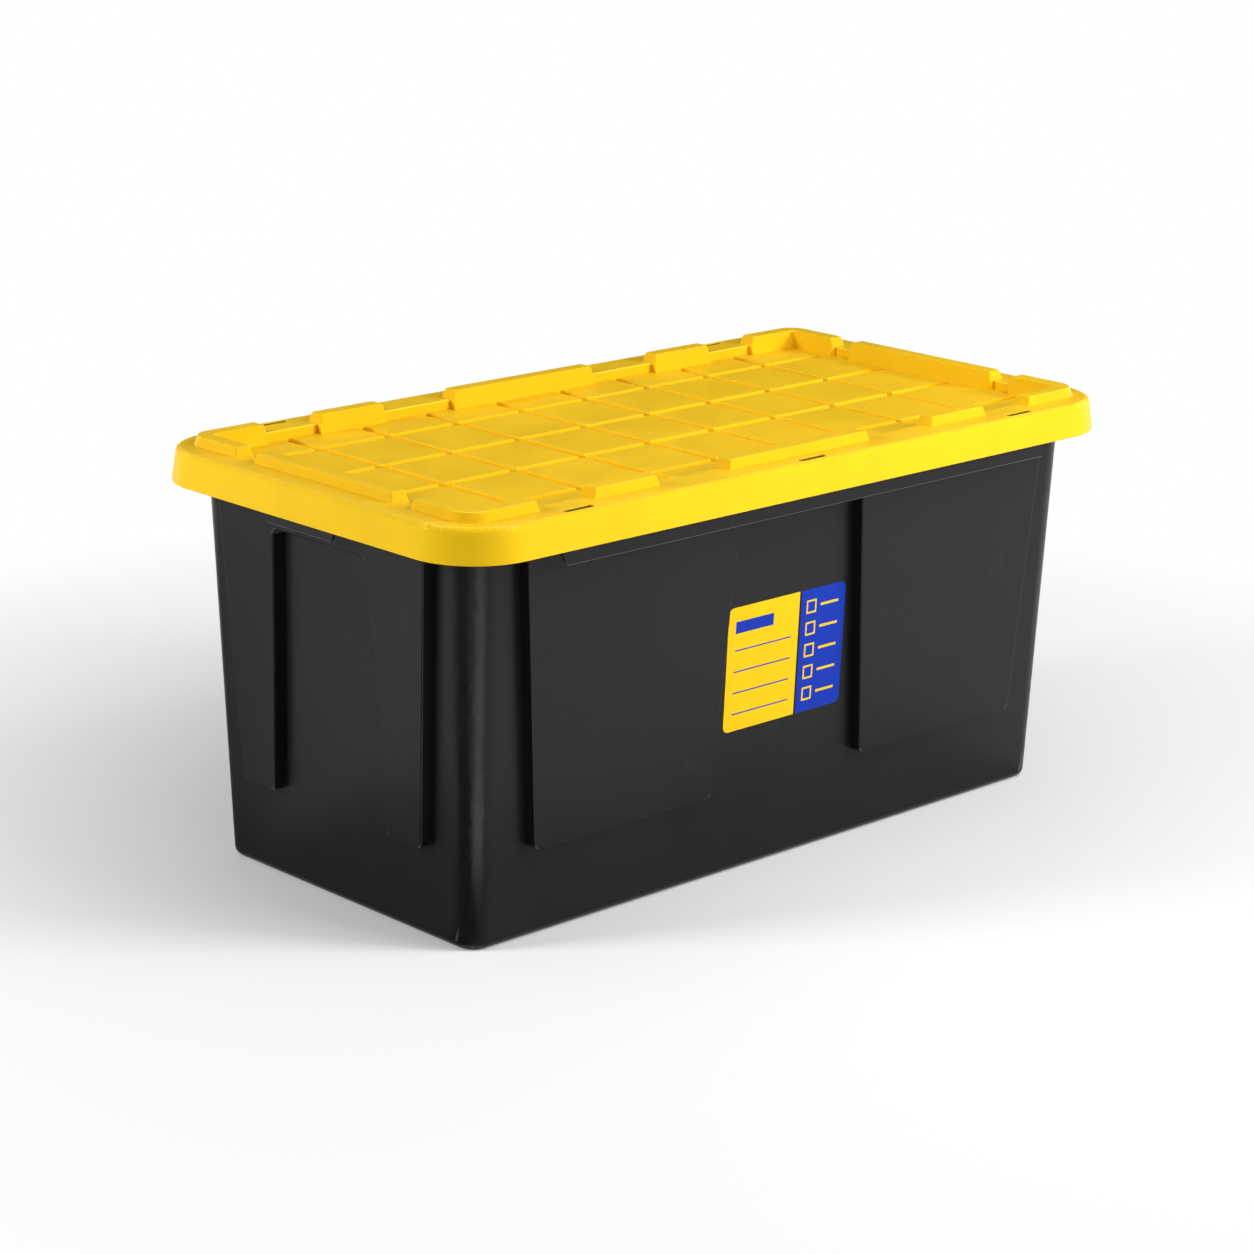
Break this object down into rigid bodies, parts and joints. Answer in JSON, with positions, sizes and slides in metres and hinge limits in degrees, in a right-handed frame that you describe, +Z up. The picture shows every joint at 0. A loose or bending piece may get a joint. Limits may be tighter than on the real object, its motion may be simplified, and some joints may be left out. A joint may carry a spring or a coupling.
{
  "type": "storage tote",
  "caption": "Large rectangular storage tote: a tub with leaning walls, raised panels and a rim with grips, capped by a lift-off lid with stacking bars, a tiled field and lock slots.",
  "frame": {"origin": "middle of the underside, on the surface that the tote stands on", "axes": "+Z up, +X along the long side, -Y out of the front wall, which carries the label"},
  "size_m": [1.0374, 0.5484, 0.491],
  "materials": {
    "tub_plastic": "black polypropylene, satin, with a fine moulded grain",
    "lid_plastic": "yellow polypropylene, satin, with a fine moulded grain",
    "label_film": "printed polypropylene film, satin"
  },
  "bodies": {
    "tub": {"tub": "tub_plastic", "front_label": "label_film"},
    "lid": {"lid": "lid_plastic"}
  },
  "joints": [
    {"name": "lid_lift", "type": "slide", "parent": "tub", "child": "lid", "axis": [0, 0, 1], "range_m": [0, 0.3]}
  ]
}
